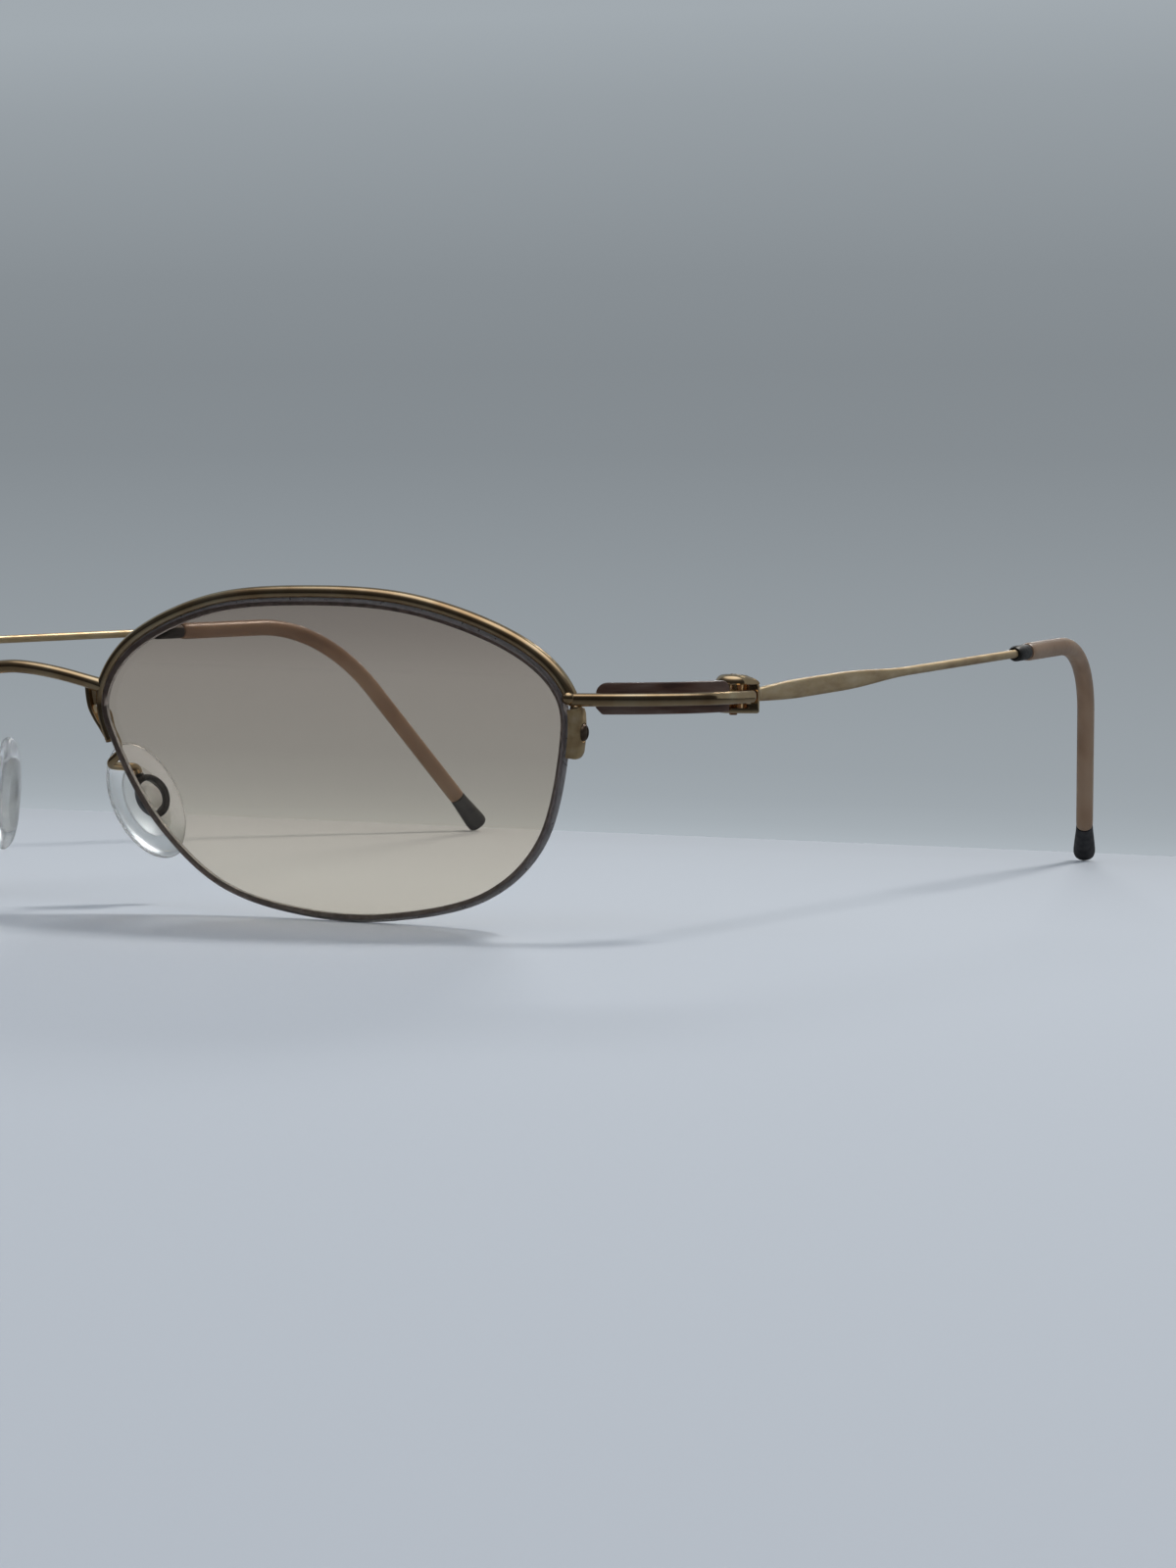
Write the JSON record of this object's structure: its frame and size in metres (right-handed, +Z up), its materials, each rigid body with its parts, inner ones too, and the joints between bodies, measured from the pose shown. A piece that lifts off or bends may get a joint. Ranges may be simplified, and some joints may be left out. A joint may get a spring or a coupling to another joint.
{
  "type": "sunglasses",
  "caption": "Half-rim oval sunglasses with a thin gold wire frame, lightly tinted lenses held by nylon cords, rocking nose pads and folding temples.",
  "frame": {"origin": "on the surface that the open glasses stand on, midway between left and right and midway between front and back of the whole object", "axes": "+Z up; the glasses face -Y, the temples run back along +Y, and +X is the wearer's left"},
  "size_m": [0.1376, 0.1426, 0.0295],
  "materials": {
    "gold": "polished pale gold plate",
    "gold_satin": "satin pale gold plate",
    "copper": "worn copper-coloured screw",
    "brown_lacquer": "dark brown lacquer over a metal strip",
    "lens_tint": "clear lens with a light taupe tint",
    "nylon": "translucent nylon cord and liner",
    "clear_silicone": "clear soft pad",
    "dark_steel": "dark plated steel",
    "amber": "translucent dark amber sleeve",
    "black_rubber": "dark soft plastic cap"
  },
  "bodies": {
    "front": {"bridge": "gold", "cord_block_left": "gold_satin", "cord_block_right": "gold_satin", "cord_block_screw_left": "gold_satin", "cord_block_screw_right": "gold_satin", "endpiece_left": "gold", "endpiece_right": "gold", "endpiece_strip_left": "brown_lacquer", "endpiece_strip_right": "brown_lacquer", "lens_cord_left": "nylon", "lens_cord_right": "nylon", "lens_left": "lens_tint", "lens_right": "lens_tint", "pad_arm_left": "gold", "pad_arm_right": "gold", "pad_box_left": "dark_steel", "pad_box_right": "dark_steel", "rim_left": "gold", "rim_liner_left": "nylon", "rim_liner_right": "nylon", "rim_right": "gold"},
    "temple_left": {"hinge_fork_left": "gold", "hinge_screw_left": "copper", "temple_collar_left": "dark_steel", "temple_left": "gold_satin", "temple_sleeve_left": "amber", "tip_cap_left": "black_rubber"},
    "temple_right": {"hinge_fork_right": "gold", "hinge_screw_right": "copper", "temple_collar_right": "dark_steel", "temple_right": "gold_satin", "temple_sleeve_right": "amber", "tip_cap_right": "black_rubber"},
    "pad_left": {"nose_pad_left": "clear_silicone"},
    "pad_right": {"nose_pad_right": "clear_silicone"}
  },
  "joints": [
    {"name": "temple_fold_left", "type": "hinge", "parent": "front", "child": "temple_left", "pos_m": [0.06639, -0.05518, 0.02043], "axis": [0, 0, 1], "range_deg": [0, 80.5]},
    {"name": "temple_fold_right", "type": "hinge", "parent": "front", "child": "temple_right", "pos_m": [-0.06639, -0.05518, 0.02043], "axis": [0, 0, -1], "range_deg": [0, 77]},
    {"name": "pad_rock_left", "type": "hinge", "parent": "front", "child": "pad_left", "pos_m": [0.00987, -0.06249, 0.00994], "axis": [-0.4347, -0.7719, -0.464], "range_deg": [-10, 10]},
    {"name": "pad_rock_right", "type": "hinge", "parent": "front", "child": "pad_right", "pos_m": [-0.00987, -0.06249, 0.00994], "axis": [-0.4347, 0.7719, 0.464], "range_deg": [-10, 10]}
  ]
}
